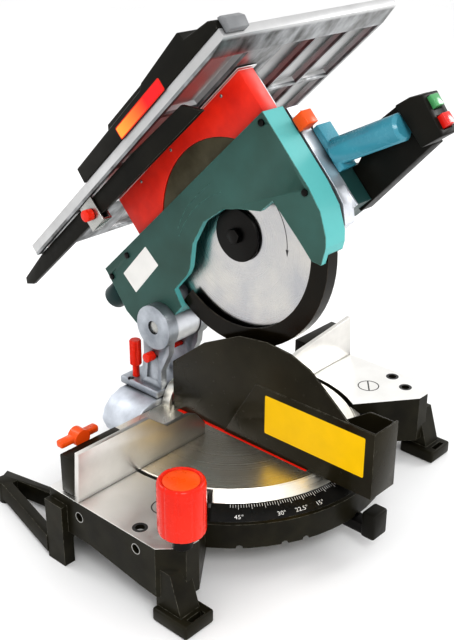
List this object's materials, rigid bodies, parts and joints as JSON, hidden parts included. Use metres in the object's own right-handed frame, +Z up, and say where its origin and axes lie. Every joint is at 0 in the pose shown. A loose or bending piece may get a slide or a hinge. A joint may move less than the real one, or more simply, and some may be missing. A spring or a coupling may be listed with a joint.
{
  "type": "combination mitre saw",
  "caption": "Bench mitre saw with a saw table on its head: round blade on a sprung swinging head, turntable base with fences, scale ring and folding blade covers.",
  "frame": {"origin": "middle of the saw's overall box at floor level", "axes": "+Z up, +X to the right along the fence, -Y towards the user"},
  "size_m": [0.498, 0.5228, 0.5758],
  "materials": {
    "black_paint": "satin",
    "machined": "satin",
    "cast_light": "satin",
    "zinc": "satin",
    "dark_steel": "satin",
    "blade_steel": "satin",
    "green_plastic": "satin",
    "teal_plastic": "satin",
    "red_paint": "satin",
    "red_plastic": "satin",
    "orange_plastic": "satin",
    "black_plastic": "satin",
    "guard_plastic": "satin",
    "scale_black": "satin",
    "green_button": "satin",
    "grey_paint": "satin"
  },
  "bodies": {
    "base": {"base_casting": "black_paint", "bevelled_ring": "machined", "mitre_scale": "scale_black", "outrigger_left": "black_paint", "outrigger_right": "black_paint", "turntable_bolt": "zinc", "right_fence": "machined", "right_fence_frame": "black_paint"},
    "clamp": {"clamp_knob": "red_plastic"},
    "sliding_fence": {"left_fence": "machined", "left_fence_frame": "black_paint"},
    "fence_lock": {"wing_knob": "orange_plastic"},
    "turntable": {"turntable": "machined", "kerf_insert": "red_plastic", "lock_arm": "dark_steel", "lock_grip": "black_plastic"},
    "blade_cover": {"lower_cover": "black_plastic"},
    "tilt_arm": {"tilt_arm": "cast_light", "bevel_pivot_bolt": "zinc", "hinge_bracket": "cast_light", "flange_bolt_left": "dark_steel", "flange_bolt_right": "dark_steel", "hinge_pin": "zinc", "return_spring": "dark_steel"},
    "bevel_lock": {"bevel_lock_knob": "red_plastic"},
    "lock_pin": {"transport_lock_pin": "red_plastic"},
    "head": {"head_casting": "cast_light", "green_cover": "green_plastic", "cover_screw_1": "dark_steel", "cover_screw_2": "dark_steel", "cover_screw_3": "dark_steel", "cover_screw_4": "dark_steel", "gear_housing": "cast_light", "motor_housing": "green_plastic", "motor_end_cap": "green_plastic", "cord_gland": "black_plastic", "handle_grip": "teal_plastic", "handle_housing": "black_plastic", "switch_box": "black_plastic", "dust_port": "green_plastic"},
    "blade": {"saw_blade": "blade_steel", "outer_flange": "dark_steel", "arbor_bolt": "dark_steel", "arbor_and_gear": "zinc"},
    "rotor": {"motor_rotor": "dark_steel"},
    "guard": {"lower_guard": "guard_plastic"},
    "on_button": {"on_button": "green_button"},
    "off_button": {"off_button": "red_plastic"},
    "release_button": {"release_button": "orange_plastic"},
    "height_lock": {"height_lock_knob": "black_plastic"},
    "saw_table": {"top_table": "machined", "blade_hood": "red_paint", "inner_disc": "black_paint", "riving_knife": "zinc", "crown_guard": "black_plastic", "stick_clip": "zinc"},
    "rip_fence": {"rip_fence": "black_plastic", "rip_fence_clamp": "grey_paint"},
    "push_stick": {"push_stick": "black_plastic"},
    "stick_knob": {"clip_knob": "red_plastic"}
  },
  "joints": [
    {"name": "mitre", "type": "hinge", "parent": "base", "child": "turntable", "pos_m": [0, -0.02807, 0], "axis": [0, 0, 1], "range_deg": [-45, 45]},
    {"name": "bevel", "type": "hinge", "parent": "turntable", "child": "tilt_arm", "pos_m": [0, -0.02807, 0.088], "axis": [0, -1, 0], "range_deg": [0, 45]},
    {"name": "cover_tip", "type": "hinge", "parent": "turntable", "child": "blade_cover", "pos_m": [-0.026, -0.02807, 0.0883], "axis": [0, -1, 0], "range_deg": [0, 45]},
    {"name": "chop", "type": "hinge", "parent": "tilt_arm", "child": "head", "pos_m": [0, 0.06793, 0.1915], "axis": [-1, 0, 0], "range_deg": [-47, 0], "stiffness_Nm_per_rad": 12, "springref_deg": 108.86},
    {"name": "guard_lift", "type": "hinge", "parent": "head", "child": "guard", "pos_m": [0, -0.04008, 0.32915], "axis": [-1, 0, 0], "range_deg": [-83, 0]},
    {"name": "blade_spin", "type": "hinge", "parent": "head", "child": "blade", "pos_m": [0, -0.04008, 0.32915], "axis": [1, 0, 0], "continuous": true},
    {"name": "rotor_spin", "type": "hinge", "parent": "head", "child": "rotor", "pos_m": [0, -0.00458, 0.32879], "axis": [1, 0, 0], "continuous": true},
    {"name": "on_press", "type": "slide", "parent": "head", "child": "on_button", "axis": [0, 0.7254, -0.6884], "range_m": [0, 0.0025], "stiffness_N_per_m": 300, "springref_m": -0.003},
    {"name": "off_press", "type": "slide", "parent": "head", "child": "off_button", "axis": [0, 0.7254, -0.6884], "range_m": [0, 0.0025], "stiffness_N_per_m": 300, "springref_m": -0.003},
    {"name": "release_press", "type": "slide", "parent": "head", "child": "release_button", "axis": [0, 0.7254, -0.6884], "range_m": [0, 0.003], "stiffness_N_per_m": 300, "springref_m": -0.003},
    {"name": "height_lock_turn", "type": "hinge", "parent": "head", "child": "height_lock", "pos_m": [0, -0.08106, 0.44868], "axis": [1, 0, 0], "range_deg": [-180, 180]},
    {"name": "table_height", "type": "slide", "parent": "head", "child": "saw_table", "axis": [0, -0.6884, -0.7254], "range_m": [0, 0.044]},
    {"name": "rip_fence_slide", "type": "slide", "parent": "saw_table", "child": "rip_fence", "axis": [1, 0, 0], "range_m": [0, 0.03]},
    {"name": "push_stick_slide", "type": "slide", "parent": "saw_table", "child": "push_stick", "axis": [0, -0.7254, 0.6884], "range_m": [-0.08, 0]},
    {"name": "stick_knob_turn", "type": "hinge", "parent": "saw_table", "child": "stick_knob", "pos_m": [0, 0.12091, 0.33319], "axis": [1, 0, 0], "range_deg": [-180, 180]},
    {"name": "bevel_lock_turn", "type": "hinge", "parent": "tilt_arm", "child": "bevel_lock", "pos_m": [-0.024, 0.11293, 0.1073], "axis": [0, 0, 1], "range_deg": [-90, 90]},
    {"name": "lock_pin_pull", "type": "slide", "parent": "tilt_arm", "child": "lock_pin", "axis": [-1, 0, 0], "range_m": [0, 0.02]},
    {"name": "clamp_turn", "type": "hinge", "parent": "base", "child": "clamp", "pos_m": [-0.217, -0.16007, 0.088], "axis": [0, 0, 1], "range_deg": [-180, 180]},
    {"name": "left_fence_slide", "type": "slide", "parent": "base", "child": "sliding_fence", "axis": [-1, 0, 0], "range_m": [0, 0.09]},
    {"name": "fence_lock_turn", "type": "hinge", "parent": "sliding_fence", "child": "fence_lock", "pos_m": [-0.203, 0.00353, 0.138], "axis": [0, -1, 0], "range_deg": [-90, 90]}
  ],
  "couplings": [
    {"joint": "cover_tip", "follows": "bevel", "ratio": 1},
    {"joint": "guard_lift", "follows": "chop", "ratio": 1.745},
    {"joint": "rotor_spin", "follows": "blade_spin", "ratio": -3.6667}
  ]
}
